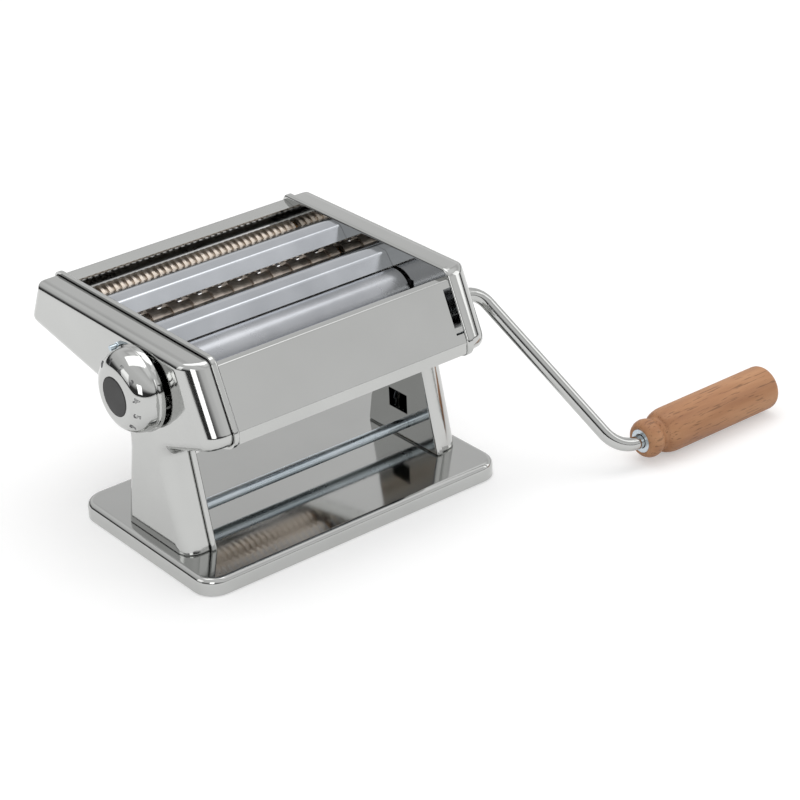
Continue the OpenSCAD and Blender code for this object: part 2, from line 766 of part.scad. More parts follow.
// A blind bore for the crank, with a cross slot at its mouth for the crank's pin.
module crank_socket(y, z) {
    rod(y, z, socket_end_x - socket_depth, socket_end_x + 1, socket_d);
    translate([socket_end_x - slot_l, y, z]) rotate([crank_angle, 0, 0])
        translate([0, -20, -slot_w / 2]) cube([slot_l + 1, 40, slot_w]);
}

// A journal from the roller's end to x_end on the right, and to the bush's end on the left.
module journals(y, z, d, x_end) {
    rod(y, z, -plate_out_x - bush_flange_t - 2, x_end, d);
}

module front_smooth_roller() {
    color("lightgray") difference() {
        union() {
            rod(front_smooth_y, smooth_z, -face_w / 2, face_w / 2, smooth_d);
            journals(front_smooth_y, smooth_z, smooth_shaft_d, socket_end_x);
        }
        crank_socket(front_smooth_y, smooth_z);
    }
}

module rear_smooth_roller() {
    color("lightgray") {
        rod(smooth_y, smooth_z, -face_w / 2, face_w / 2, smooth_d);
        rod(smooth_y, smooth_z, -yoke_out_x, yoke_out_x + smooth_gear_w + 1, smooth_shaft_d);
    }
}

// A turned cutter: cutting rings with sunk bands between them, on one shaft.
module cutter(y, z, strip, rings, stagger, x_end) {
    rim = cutter_d / 2;
    core = cutter_core_d / 2;
    ring_w = strip - 2 * ring_clear;
    end = face_w / 2;
    translate([0, y, z]) rotate([0, 90, 0]) rotate_extrude() polygon(concat(
        [[0, -end], [core, -end]],
        flat([for (i = [0 : rings - 1]) let (x = ring_x(i, strip, rings, stagger))
            [[core, x], [rim, x], [rim, x + ring_w], [core, x + ring_w]]]),
        [[core, end], [0, end]]));
    journals(y, z, cutter_shaft_d, x_end);
}

cutter_end_x = gear_x + cutter_gear_w + 2;

module driven_cutter(y, z, strip, rings) {
    color("burlywood") difference() {
        cutter(y, z, strip, rings, 0, socket_end_x);
        crank_socket(y, z);
    }
}

module wide_cutter_front() {
    driven_cutter(wide_front_y, wide_z, wide_strip, wide_rings);
}

module wide_cutter_rear() {
    color("burlywood") cutter(wide_rear_y, wide_z, wide_strip, wide_rings, 1, cutter_end_x);
}

module fine_cutter_front() {
    driven_cutter(fine_front_y, fine_z, fine_strip, fine_rings);
}

module fine_cutter_rear() {
    color("burlywood") cutter(fine_rear_y, fine_z, fine_strip, fine_rings, 1, cutter_end_x);
}

// ---- Yoke that carries the rear smooth roller --------------------------------------------------

yoke_out_x = gear_x + yoke_flange;
cam_gap = 0.3;
follower_y = smooth_y - cam_r - follower_d / 2 - cam_gap;
cam_w = 4;
spring_x = plate_out_x + yoke_flange + 3.5;
spring_z = yoke_bar_z + 3;
spring_l = 16;
lug_t = 2;
lug_w = 6;

// A bearing block that slides in the plate's slot, with a flange outside the plate and an arm
// down to the yoke bar.
module yoke_block() {
    difference() {
        union() {
            translate([plate_x + seat, smooth_y - yoke_w / 2, smooth_z - yoke_h / 2 + seat])
                cube([plate_t, yoke_w, yoke_h - 2 * seat]);
            translate([plate_out_x + seat, smooth_y - yoke_w / 2 - 1, smooth_z - yoke_h / 2 - 2])
                cube([yoke_flange, yoke_w + 2, yoke_h + 4]);
            translate([plate_out_x + seat, smooth_y - yoke_bar_d, yoke_bar_z - yoke_bar_d])
                cube([yoke_flange, 2 * yoke_bar_d, smooth_z - yoke_bar_z]);
            translate([plate_out_x + seat, smooth_y - yoke_bar_d, spring_z - lug_w / 2])
                cube([spring_x + lug_w / 2 - plate_out_x - seat, lug_t, lug_w]);
        }
        rod(smooth_y, smooth_z, plate_x - 1, plate_out_x + 6, smooth_shaft_d + 2 * fit);
        rod(smooth_y, yoke_bar_z, plate_x - 1, plate_out_x + 6, yoke_bar_d - 2);
    }
}

module yoke_left() {
    color("slategray") left_side() {
        yoke_block();
        rod(follower_y, smooth_z, plate_out_x + yoke_flange, cam_x + cam_w, follower_d);
    }
}

module yoke_right() {
    color("slategray") yoke_block();
}

module yoke_bar() {
    color("slategray") {
        rod(smooth_y, yoke_bar_z, -plate_x - plate_t, plate_x + plate_t, yoke_bar_d);
        rod(smooth_y, yoke_bar_z, -plate_out_x - yoke_flange - 1, plate_out_x + yoke_flange + 1,
            yoke_bar_d - 2 - 2 * seat);
    }
}

spring_d = 5;
spring_wire = 0.9;
spring_turns = 5;

// A spring of length l along Z: round turns that are joined by short stems.
module coil(l, d, wire, turns) {
    pitch = (l - wire) / turns;
    translate([0, 0, wire / 2]) {
        for (i = [0 : turns]) translate([0, 0, i * pitch])
            rotate_extrude($fn = 24) translate([d / 2, 0]) circle(d = wire, $fn = 16);
        for (i = [0 : turns - 1]) rotate([0, 0, i % 2 == 0 ? 0 : 180])
            translate([d / 2, 0, i * pitch]) cylinder(h = pitch, d = wire * 0.8, $fn = 16);
    }
}

module yoke_springs() {
    y1 = smooth_y - yoke_bar_d - seat;
    color("silver") for (s = [0, 1]) mirror([s, 0, 0])
        translate([spring_x, y1 - spring_l + 2 * seat, spring_z]) rotate([-90, 0, 0])
            coil(spring_l - 2 * seat, spring_d, spring_wire, spring_turns);
}

// ---- Gap adjuster ------------------------------------------------------------------------------

cam_x = yoke_out_x + 1.4;
knob_back_x = cover_x + knob_gap;
head_h = knob_depth - 3.4;
head_t = 1;
hub_floor = 4;
hub_r = 9.4;
index_a = 38;
index_r = knob_d / 2 + 2.6;

module adjuster_bush() {
    color("peru") left_side() difference() {
        union() {
            rod(smooth_y, smooth_z, cam_x + cam_w + clear, cover_x + 0.8,
                adjuster_d + 2 * bush_wall - 2 * seat);
            rod(smooth_y, smooth_z, cover_x - cover_t - 1.3, cover_x - cover_t - seat,
                adjuster_d + 2 * bush_wall + 4);
        }
        rod(smooth_y, smooth_z, cam_x + cam_w - 1, cover_x + 2, adjuster_d + 2 * fit);
    }
}

module adjuster_shaft() {
    color("silver") left_side() {
        rod(smooth_y, smooth_z, cam_x, knob_back_x + head_h, adjuster_d);
        rod(smooth_y, smooth_z, knob_back_x + head_h - head_t, knob_back_x + head_h, 2 * hub_r - 5);
    }
}

// Radius grows by the roller's travel over the knob's turn; a = 0 is the follower's side.
function snail(a) = cam_r + gap_travel * min(a, knob_turn) / knob_turn
    - (a > knob_turn + 12 ? gap_travel * min((a - knob_turn - 12) / 40, 1) : 0);

module snail_cam() {
    color("slategray") left_side() difference() {
        translate([0, smooth_y, smooth_z]) at_x(cam_x) linear_extrude(cam_w)
            polygon([for (a = [0 : 6 : 354]) snail(a) * [-cos(a), -sin(a)]]);
        rod(smooth_y, smooth_z, cam_x - 1, cam_x + cam_w + 1, adjuster_d);
    }
}

knob_lip = 3.2;
knob_flat_r = knob_cap_d / 2 + 2.4;

// Half section of the knob, in (radius, height): a lip, a soft dome and a flat end.
function knob_dome(r0, h0, n) = [for (i = [0 : n]) let (a = 90 * i / n)
    [knob_flat_r + (r0 - knob_flat_r) * cos(a), h0 + (knob_depth - h0) * sin(a)]];

// A hollow shell round a hub; the hub's pocket holds the spring under the shaft's head.
module knob() {
    r = knob_d / 2;
    shell = [for (p = knob_dome(r - 0.7, knob_lip + 0.9, 8))
        if (p[0] - knob_wall > hub_r) [p[0] - knob_wall, p[1] - knob_wall]];
    color("gainsboro") left_side() translate([knob_back_x, smooth_y, smooth_z]) rotate([0, 90, 0])
        rotate_extrude($fn = 64) difference() {
        polygon(concat([[0, 0], [r - 0.6, 0], [r, 0.6], [r, knob_lip], [r - 0.7, knob_lip + 0.3]],
            knob_dome(r - 0.7, knob_lip + 0.9, 12), [[0, knob_depth]]));
        polygon(concat([[hub_r, -1], [r - knob_wall, -1], [r - knob_wall, knob_lip]], shell,
            [[hub_r, shell[len(shell) - 1][1]]]));
        translate([0, -1]) square([adjuster_d / 2 + fit, knob_depth]);
        translate([0, hub_floor]) square([hub_r - 2, knob_depth]);
        translate([0, knob_depth - 1]) square([knob_cap_d / 2, 2]);
    }
}

module knob_cap() {
    x0 = knob_back_x + knob_depth - 1 + seat / 2;
    color("dimgray") left_side() {
        rod(smooth_y, smooth_z, x0, x0 + 0.7, knob_cap_d - 2 * seat);
        translate([x0 + 0.7, smooth_y, smooth_z]) rotate([0, 90, 0])
            cylinder(h = 0.6, d1 = knob_cap_d - 2 * seat, d2 = knob_cap_d - 1.6, $fn = 48);
    }
}

module knob_spring() {
    color("silver") left_side()
        translate([knob_back_x + hub_floor + seat, smooth_y, smooth_z]) rotate([0, 90, 0])
        coil(head_h - head_t - hub_floor - 2 * seat, adjuster_d + 3.4, 0.9, 4);
}

// A pin beside the knob's edge that marks the setting, with a nut behind the cover.
module index_pin() {
    y = smooth_y + index_r * cos(index_a);
    z = smooth_z + index_r * sin(index_a);
    color("lightsteelblue") left_side() {
        rod(y, z, cover_x - cover_t - 3, cover_x + knob_gap + knob_lip + 1, 3);
        translate([cover_x, y, z]) rotate([0, 90, 0]) cylinder(h = 1.6, d = 4.6, $fn = 6);
        translate([cover_x - cover_t - 2.4, y, z]) rotate([0, 90, 0])
            cylinder(h = 2.3, d = 5.5 / cos(30), $fn = 6);
    }
}

// ---- Crank -------------------------------------------------------------------------------------

crank_x1 = cover_x + crank_out;
crank_x2 = crank_x1 + crank_reach;
arm_angle = atan2(crank_throw, crank_reach);
bend1_t = bend1_r * tan(arm_angle / 2);
bend2_t = bend2_r * tan(arm_angle / 2);
arm_len = norm([crank_reach, crank_throw]);
grip_x = crank_x2 + bend2_t + 2.5;
seam = 0.01;

// Places a shape in the crank's own plane: X along its axis, Y towards the grip.
module in_crank() {
    translate([0, front_smooth_y, smooth_z]) rotate([crank_angle, 0, 0]) children();
}

// A straight length of bar from p in the direction a, short of its ends by the seam.
module bar(p, a, l, d) {
    translate([p[0], p[1], 0]) rotate([0, 0, a]) rotate([0, 90, 0])
        translate([0, 0, seam]) cylinder(h = l - 2 * seam, d = d);
}

// A core inside the bar that carries it across the seam between a straight length and a bend.
module core(p, a) {
    translate([p[0], p[1], 0]) rotate([0, 0, a]) rotate([0, 90, 0])
        cylinder(h = 1, d = crank_d - 0.4, center = true);
}

module bend(c, r, start, a, d) {
    translate([c[0], c[1], 0]) rotate([0, 0, start]) rotate_extrude(angle = a)
        translate([r, 0]) circle(d = d);
}

module crank_bar() {
    x0 = socket_end_x - socket_depth + clear;
    s = [cos(arm_angle), sin(arm_angle)];
    b1 = [crank_x1, 0] + bend1_t * s;
    b2 = [crank_x2, crank_throw] - bend2_t * s;
    color("gainsboro") in_crank() difference() {
        union() {
            bar([x0, 0], 0, crank_x1 - bend1_t - x0, crank_d);
            bend([crank_x1 - bend1_t, bend1_r], bend1_r, -90, arm_angle, crank_d);
            bar(b1, arm_angle, arm_len - bend1_t - bend2_t, crank_d);
            bend(b2 + bend2_r * [s[1], -s[0]], bend2_r, 90, arm_angle, crank_d);
            bar([crank_x2 + bend2_t, crank_throw], 0, grip_x + 0.6 - crank_x2 - bend2_t, crank_d);
            bar([grip_x, crank_throw], 0, grip_len - 2.5, spindle_d);
            bar([grip_x + grip_len - 3.2, crank_throw], 0, 1.6, spindle_d + 4);
            core([crank_x1 - bend1_t, 0], 0);
            core(b1, arm_angle);
            core(b2, arm_angle);
            core([crank_x2 + bend2_t, crank_throw], 0);
        }
        translate([socket_end_x - slot_l / 2, 0, 0]) rotate([90, 0, 0])
            cylinder(h = 2 * crank_d, d = 2.5, center = true);
    }
}

// The cross pin that turns the roller's socket.
module crank_pin() {
    color("silver") in_crank() translate([socket_end_x - slot_l / 2, 0, 0]) rotate([90, 0, 0])
        cylinder(h = smooth_shaft_d - 1, d = 2.5, center = true);
}

// ---- Grip --------------------------------------------------------------------------------------

ferrule_t = 1.2;

// Outline of the grip's wood in (radius, distance from the inner end).
function grip_profile() = let (b = bead_d / 2, g = groove_d / 2, r = grip_d / 2, e = 4)
    concat([for (a = [-60 : 20 : 60]) [b - 5.5 + 5.5 * cos(a), 5.5 + 6.3 * sin(a)]],
        [[g, 12.4], [g, 13.2]],
        [for (a = [0 : 15 : 90]) [g + (r - g) * sin(a), 13.2 + 9.5 * (1 - cos(a))]],
        [for (a = [0 : 18 : 90]) [r - 4 + 4 * cos(a), grip_len - e + e * sin(a)]]);

module grip() {
    bore = spindle_d / 2 + fit;
    color("burlywood") in_crank() translate([grip_x, crank_throw, 0]) rotate([0, 90, 0])
        rotate_extrude($fn = 64) difference() {
        polygon(concat([[0, 0], [ferrule_d / 2 + 1.2, 0]], grip_profile(), [[0, grip_len]]));
        translate([0, -1]) square([bore, grip_len + 2]);
        translate([0, -1]) square([ferrule_d / 2, ferrule_t + 1 + seat]);
        translate([0, grip_len - 3.2 - 1]) square([spindle_d / 2 + 3, 6]);
    }
}

module grip_ferrule() {
    color("gray") in_crank() translate([grip_x, crank_throw, 0]) rotate([0, 90, 0]) difference() {
        cylinder(h = ferrule_t, d = ferrule_d - 2 * seat);
        translate([0, 0, -1]) cylinder(h = ferrule_t + 2, d = crank_d + 2 * clear);
    }
}

module grip_washer() {
    color("silver") in_crank() translate([grip_x + grip_len - 4.1, crank_throw, 0])
        rotate([0, 90, 0]) difference() {
        cylinder(h = 0.8, d = spindle_d + 5.4);
        translate([0, 0, -1]) cylinder(h = 3, d = spindle_d + 2 * fit);
    }
}

// ---- One line per node -------------------------------------------------------------------------

base_plate();
rubber_feet();
left_side_plate();
right_side_plate();
left_cover();
right_cover();
front_panel();
rear_panel();
front_guide();
rear_guide();
tie_rod();
head_rod();
rod_nuts();
base_screws();
smooth_bushes();
wide_bushes();
fine_bushes();
front_scraper();
rear_scraper();
wide_comb_front();
wide_comb_rear();
fine_comb_front();
fine_comb_rear();
front_smooth_roller();
front_smooth_gear();
rear_smooth_roller();
rear_smooth_gear();
wide_cutter_front();
wide_gear_front();
wide_cutter_rear();
wide_gear_rear();
fine_cutter_front();
fine_gear_front();
fine_cutter_rear();
fine_gear_rear();
yoke_left();
yoke_right();
yoke_bar();
yoke_springs();
adjuster_bush();
adjuster_shaft();
snail_cam();
knob();
knob_cap();
knob_spring();
index_pin();
crank_bar();
crank_pin();
grip();
grip_ferrule();
grip_washer();
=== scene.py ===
# %% [markdown]
# # A chromed pasta roller machine
# The solid model of the machine is already built and fixed. This script gives it its looks: a
# studio, polished sheet metal, turned rollers, a beech grip, and the small details of the dial.
# The first cell loads the model and adds small helpers, one of which reads a part's box.

# %% Load the model
import math
import bpy
from mathutils import Matrix, Vector


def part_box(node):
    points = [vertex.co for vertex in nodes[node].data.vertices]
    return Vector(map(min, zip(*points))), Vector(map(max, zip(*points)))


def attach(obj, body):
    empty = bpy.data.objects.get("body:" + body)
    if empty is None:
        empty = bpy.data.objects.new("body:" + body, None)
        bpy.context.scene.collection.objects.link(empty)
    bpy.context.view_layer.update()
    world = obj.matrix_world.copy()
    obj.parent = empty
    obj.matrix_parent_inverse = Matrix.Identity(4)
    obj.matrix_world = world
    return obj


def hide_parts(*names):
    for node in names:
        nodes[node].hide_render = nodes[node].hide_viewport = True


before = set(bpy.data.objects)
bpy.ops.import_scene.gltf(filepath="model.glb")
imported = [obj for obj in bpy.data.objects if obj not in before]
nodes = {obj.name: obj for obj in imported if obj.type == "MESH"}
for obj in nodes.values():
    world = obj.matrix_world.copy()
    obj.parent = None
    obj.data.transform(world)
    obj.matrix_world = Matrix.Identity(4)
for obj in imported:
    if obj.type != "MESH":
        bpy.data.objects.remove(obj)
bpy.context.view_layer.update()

# %% [markdown]
# ## Camera
# A camera is placed either by hand in the view or by numbers. Here the numbers are known: the
# machine is seen from the front left and from above, from well back with a long lens, so its
# sides hardly converge. The camera's own axes are worked out from three angles, because that
# keeps the small tilt of the horizon apart from the other two.

# %% Place the camera
AZIMUTH = math.radians(-36.59)
ELEVATION = math.radians(27.16)
ROLL = math.radians(-2.93)
CAMERA_AT = Vector((-0.69224, -1.00161, 0.68815))


def camera_axes(azimuth, elevation, roll):
    back = Vector((math.sin(azimuth) * math.cos(elevation),
                   -math.cos(azimuth) * math.cos(elevation), math.sin(elevation)))
    right = Vector((math.cos(azimuth), math.sin(azimuth), 0))
    up = back.cross(right)
    turn = Matrix.Rotation(roll, 3, back)
    return turn @ right, turn @ up, back


bpy.ops.object.select_all(action="DESELECT")
bpy.ops.object.camera_add()
camera = bpy.context.object
camera.name = "studio_camera"
axes = camera_axes(AZIMUTH, ELEVATION, ROLL)
camera.matrix_world = Matrix.Translation(CAMERA_AT) @ Matrix(axes).transposed().to_4x4()
camera.data.sensor_width = 36
camera.data.lens = 110.9
camera.data.shift_x = 0.05
camera.data.shift_y = -0.0125
camera.data.clip_end = 20
bpy.context.scene.camera = camera
print("camera looks along", [round(-v, 3) for v in axes[2]])

# %% [markdown]
# ## Studio
# Polished metal shows its surroundings and little else, so the surroundings are the real work.
# A white room would make the machine vanish, and a dark one would make it black. This room is
# white where the camera looks, a soft grey round the sides for the metal to pick up, and bright
# overhead. Just above the horizon runs a narrow dark band, which draws the thin dark lines along
# the rolled edges. One world shader does all that: Light Path tells which kind of ray asks, and
# the height of the ray's direction picks a grey from a ramp. Towards the left the heights are
# squeezed, so that the dark band stands higher there.

# %% Small helpers for shader nodes
def new_material(name):
    material = bpy.data.materials.new(name)
    material.use_nodes = True
    tree = material.node_tree
    return material, tree, tree.nodes["Principled BSDF"]


def add(tree, kind, values=None, **settings):
    made = tree.nodes.new(kind)
    for key, value in settings.items():
        setattr(made, key, value)
    for key, value in (values or {}).items():
        made.inputs[key].default_value = value
    return made


def wire(tree, source, socket, target, name):
    tree.links.new(source.outputs[socket], target.inputs[name])


def ramp(tree, stops, interpolation="LINEAR"):
    made = tree.nodes.new("ShaderNodeValToRGB")
    made.color_ramp.interpolation = interpolation
    points = made.color_ramp.elements
    while len(points) < len(stops):
        points.new(0.5)
    for point, (place, colour) in zip(points, stops):
        point.position = place
        point.color = (*colour, 1)
    return made


def grey(value):
    return (value, value, value)


# %% The room
ROOM_TONES = [(0.0, 0.8), (0.492, 0.7), (0.499, 0.035), (0.524, 0.05), (0.548, 0.72),
              (0.62, 0.88), (0.71, 0.82), (0.78, 0.66), (0.87, 1.0), (1.0, 1.1)]


def build_room():
    world = bpy.data.worlds.new("studio")
    bpy.context.scene.world = world
    world.use_nodes = True
    tree = world.node_tree
    shade = tree.nodes["Background"]
    place = add(tree, "ShaderNodeTexCoord")
    split = add(tree, "ShaderNodeSeparateXYZ")
    left = add(tree, "ShaderNodeMapRange", {"From Min": 0.25, "From Max": -0.45, "To Min": 1.0,
                                            "To Max": 4.5})
    level = add(tree, "ShaderNodeMath", operation="DIVIDE")
    height = add(tree, "ShaderNodeMapRange", {"From Min": -1.0, "From Max": 1.0})
    tones = ramp(tree, [(height_there, grey(tone)) for height_there, tone in ROOM_TONES])
    side = add(tree, "ShaderNodeMapRange", {"From Min": -0.9, "From Max": 0.9, "To Min": 1.0,
                                            "To Max": 0.96})
    toned = add(tree, "ShaderNodeMix", {"Factor": 1.0}, data_type="RGBA", blend_type="MULTIPLY")
    path = add(tree, "ShaderNodeLightPath")
    seen = add(tree, "ShaderNodeMix", data_type="RGBA")
    seen.inputs["B"].default_value = (1, 1, 1, 1)
    wire(tree, place, "Generated", split, "Vector")
    wire(tree, split, "X", left, "Value")
    wire(tree, split, "Z", level, 0)
    wire(tree, left, "Result", level, 1)
    wire(tree, level, "Value", height, "Value")
    wire(tree, split, "Y", side, "Value")
    wire(tree, height, "Result", tones, "Fac")
    wire(tree, tones, "Color", toned, "A")
    wire(tree, side, "Result", toned, "B")
    wire(tree, toned, "Result", seen, "A")
    wire(tree, path, "Is Camera Ray", seen, "Factor")
    wire(tree, seen, "Result", shade, "Color")
    return world


room = build_room()
print("room:", room.name)

# %% [markdown]
# ## Floor
# The machine stands on a plain pale surface that keeps a faint shadow. One large plane is
# enough; it is stage, not part of the machine. Its material is a light grey diffuse one, which
# adds a little light of its own for the camera and for reflections, so that it meets the white
# of the room without a line.

# %% The floor
FLOOR_SIZE = 14
FLOOR_LIFT = 0.36


def build_floor():
    bpy.ops.object.select_all(action="DESELECT")
    bpy.ops.mesh.primitive_plane_add(size=FLOOR_SIZE, location=(0, 0, 0))
    floor = bpy.context.object
    floor.name = "floor"
    material, tree, shader = new_material("white_table")
    shader.inputs["Base Color"].default_value = (0.7, 0.7, 0.7, 1)
    shader.inputs["Roughness"].default_value = 0.9
    shader.inputs["Specular IOR Level"].default_value = 0.0
    shader.inputs["Emission Color"].default_value = (1, 1, 1, 1)
    path = add(tree, "ShaderNodeLightPath")
    either = add(tree, "ShaderNodeMath", operation="MAXIMUM")
    lift = add(tree, "ShaderNodeMath", {1: FLOOR_LIFT}, operation="MULTIPLY")
    wire(tree, path, "Is Camera Ray", either, 0)
    wire(tree, path, "Is Glossy Ray", either, 1)
    wire(tree, either, "Value", lift, 0)
    wire(tree, lift, "Value", shader, "Emission Strength")
    floor.data.materials.append(material)
    return floor


floor = build_floor()
print("floor:", [round(v, 2) for v in floor.dimensions])

# %% [markdown]
# ## Lamps
# Big soft lamps give polished metal its long highlights. Four area lamps stand round the machine:
# a wide one overhead, one on each side, and an upright one at the front left, which draws the
# bright line down the rounded edges. Their light is soft, so shadows stay faint.

# %% The lamps
def area_lamp(name, at, look, size, size_y, watts):
    bpy.ops.object.select_all(action="DESELECT")
    bpy.ops.object.light_add(type="AREA", location=at)
    lamp = bpy.context.object
    lamp.name = name
    lamp.data.shape = "RECTANGLE"
    lamp.data.size = size
    lamp.data.size_y = size_y
    lamp.data.energy = watts
    direction = Vector(look) - Vector(at)
    lamp.rotation_euler = direction.to_track_quat("-Z", "Y").to_euler()
    return lamp


lamps = [
    area_lamp("overhead", (0.2, 0.3, 1.9), (0, 0, 0.05), 1.8, 1.2, 9),
    area_lamp("left_wall", (-1.9, 0.5, 0.9), (0, 0, 0.1), 1.0, 1.2, 3.5),
    area_lamp("right_wall", (1.7, -0.9, 0.9), (0, 0, 0.1), 0.9, 1.2, 3.5),
    area_lamp("front_strip", (-1.5, -1.5, 0.75), (0, 0, 0.1), 0.75, 0.9, 5),
]
print("lamps:", [lamp.name for lamp in lamps])

# %% [markdown]
# ## Chrome
# Chrome on pressed sheet is nearly a mirror, but never a perfect one. The sheet has a slow
# waviness from the press, the plating a very fine orange peel, and fingers leave patches that
# are a little less sharp. Two bumps of different size and a noise in the roughness give all
# three. A painted reflection would be quicker, but it would stay put when the camera moves.

# %% Shared parts of the metals
def object_vector(tree, scale=(1, 1, 1)):
    place = add(tree, "ShaderNodeTexCoord")
    mapping = add(tree, "ShaderNodeMapping")
    mapping.inputs["Scale"].default_value = scale
    wire(tree, place, "Object", mapping, "Vector")
    return mapping


def noise(tree, vector, scale, detail=3.0, roughness=0.5):
    made = add(tree, "ShaderNodeTexNoise", {"Scale": scale, "Detail": detail,
                                            "Roughness": roughness})
    wire(tree, vector, "Vector", made, "Vector")
    return made


def bump(tree, height, socket, distance, strength=1.0, under=None):
    made = add(tree, "ShaderNodeBump", {"Strength": strength, "Distance": distance})
    wire(tree, height, socket, made, "Height")
    if under:
        wire(tree, under, "Normal", made, "Normal")
    return made


def rough_range(tree, source, low, high, target):
    spread = add(tree, "ShaderNodeMapRange", {"From Min": 0.3, "From Max": 0.7, "To Min": low,
                                              "To Max": high})
    wire(tree, source, "Fac", spread, "Value")
    wire(tree, spread, "Result", target, "Roughness")


def tint(tree, source, dark, light, target):
    colours = ramp(tree, [(0.3, dark), (0.7, light)])
    wire(tree, source, "Fac", colours, "Fac")
    wire(tree, colours, "Color", target, "Base Color")


# %% The chrome finishes
CHROME_DARK = (0.495, 0.50, 0.49)
CHROME_LIGHT = (0.525, 0.53, 0.52)
PEEL_DEPTH = 0.0000012


def chrome(name, low, high, wave):
    material, tree, shader = new_material(name)
    shader.inputs["Metallic"].default_value = 1.0
    even = object_vector(tree)
    patches = noise(tree, even, 22, 4)
    peel = noise(tree, even, 900, 2)
    slow = noise(tree, even, 9, 1)
    first = bump(tree, slow, "Fac", wave)
    second = bump(tree, peel, "Fac", PEEL_DEPTH, under=first)
    wire(tree, second, "Normal", shader, "Normal")
    tint(tree, patches, CHROME_DARK, CHROME_LIGHT, shader)
    rough_range(tree, patches, low, high, shader)
    return material


sheet_chrome = chrome("sheet_chrome", 0.045, 0.11, 0.0004)
bar_chrome = chrome("bar_chrome", 0.06, 0.14, 0.0001)
knob_chrome = chrome("knob_chrome", 0.035, 0.08, 0.00015)
print("chrome finishes ready")

# %% [markdown]
# ## Brushed and turned steel
# The guides are polished along their length, the rollers are ground and the cutters turned, so
# their marks run round them. Noise stretched in one direction makes such marks: stretched along
# X for the guides, and squeezed along X for whatever spins about it.

# %% The steel finishes
def steel(name, dark, light, low, high, stretch, scale, depth):
    material, tree, shader = new_material(name)
    shader.inputs["Metallic"].default_value = 1.0
    marks = noise(tree, object_vector(tree, stretch), scale, 3)
    clouds = noise(tree, object_vector(tree), 35, 4)
    wire(tree, bump(tree, marks, "Fac", depth), "Normal", shader, "Normal")
    tint(tree, clouds, dark, light, shader)
    rough_range(tree, clouds, low, high, shader)
    return material


guide_steel = steel("guide_steel", (0.47, 0.49, 0.52), (0.53, 0.55, 0.58), 0.12, 0.2,
                    (0.04, 1, 1), 420, 0.000002)
roller_steel = steel("roller_steel", (0.33, 0.34, 0.36), (0.41, 0.42, 0.44), 0.22, 0.3,
                     (1, 0.05, 0.05), 900, 0.0000012)
cutter_nickel = steel("cutter_nickel", (0.60, 0.53, 0.46), (0.78, 0.70, 0.62), 0.4, 0.52,
                      (1, 0.05, 0.05), 1500, 0.000004)
zinc_plate = steel("zinc_plate", (0.46, 0.53, 0.58), (0.66, 0.72, 0.76), 0.2, 0.36,
                   (0.06, 1, 1), 600, 0.000006)
spring_steel = steel("spring_steel", (0.48, 0.48, 0.49), (0.6, 0.6, 0.61), 0.25, 0.4,
                     (0.05, 1, 1), 500, 0.000004)
# Dark steel for the gears and yokes. On the dial numbers the same finish is painted shade for the
# stamped grooves.
dark_steel = steel("dark_steel", (0.10, 0.10, 0.105), (0.2, 0.2, 0.21), 0.32, 0.5,
                   (1, 1, 1), 500, 0.00001)
bush_bronze = steel("bush_bronze", (0.40, 0.24, 0.10), (0.58, 0.38, 0.19), 0.35, 0.5,
                    (1, 1, 1), 1200, 0.00001)
print("steel finishes ready")

# %% [markdown]
# ## Beech
# The grip is turned beech. Beech has a pinkish tan ground, slow bands along the grain, and many
# short dark flecks. The grain lies along the grip, so every pattern is stretched along X; the
# flecks are a sharper noise that is cut off at its peaks, and they dent the surface a little.

# %% The wood
def build_beech():
    material, tree, shader = new_material("oiled_beech")
    along = object_vector(tree, (0.12, 1, 1))
    bands = noise(tree, along, 95, 3, 0.6)
    fleck_place = object_vector(tree, (0.09, 1, 1))
    flecks = noise(tree, fleck_place, 900, 2, 0.6)
    ground = ramp(tree, [(0.28, (0.34, 0.15, 0.068)), (0.5, (0.45, 0.22, 0.105)),
                         (0.72, (0.53, 0.28, 0.145))])
    cut = ramp(tree, [(0.0, grey(0.45)), (0.34, grey(0.62)), (0.42, grey(1)), (1.0, grey(1))])
    mixed = add(tree, "ShaderNodeMix", {"Factor": 1.0}, data_type="RGBA", blend_type="MULTIPLY")
    wire(tree, bands, "Fac", ground, "Fac")
    wire(tree, flecks, "Fac", cut, "Fac")
    wire(tree, ground, "Color", mixed, "A")
    wire(tree, cut, "Color", mixed, "B")
    wire(tree, mixed, "Result", shader, "Base Color")
    wire(tree, bump(tree, flecks, "Fac", 0.00002), "Normal", shader, "Normal")
    rough_range(tree, bands, 0.42, 0.58, shader)
    shader.inputs["Specular IOR Level"].default_value = 0.4
    return material


beech = build_beech()
print("beech ready")

# %% [markdown]
# ## Plastic and rubber
# The knob's cap is dark grey moulded plastic with a fine grain, and the feet are black rubber.
# Both are plain finishes; the grain comes from a small bump and the uneven sheen from a noise in
# the roughness.

# %% The plastics
def moulded(name, dark, light, low, high):
    material, tree, shader = new_material(name)
    grain = noise(tree, object_vector(tree), 2600, 2)
    clouds = noise(tree, object_vector(tree), 60, 3)
    wire(tree, bump(tree, grain, "Fac", 0.00002), "Normal", shader, "Normal")
    tint(tree, clouds, dark, light, shader)
    rough_range(tree, clouds, low, high, shader)
    return material


cap_plastic = moulded("cap_plastic", grey(0.013), grey(0.022), 0.42, 0.55)
foot_rubber = moulded("foot_rubber", grey(0.012), grey(0.022), 0.7, 0.85)
print("plastic and rubber ready")

# %% [markdown]
# ## Giving the parts their finishes
# Each part of the machine has one finish. A table from finish to part names keeps the choice in
# one place.

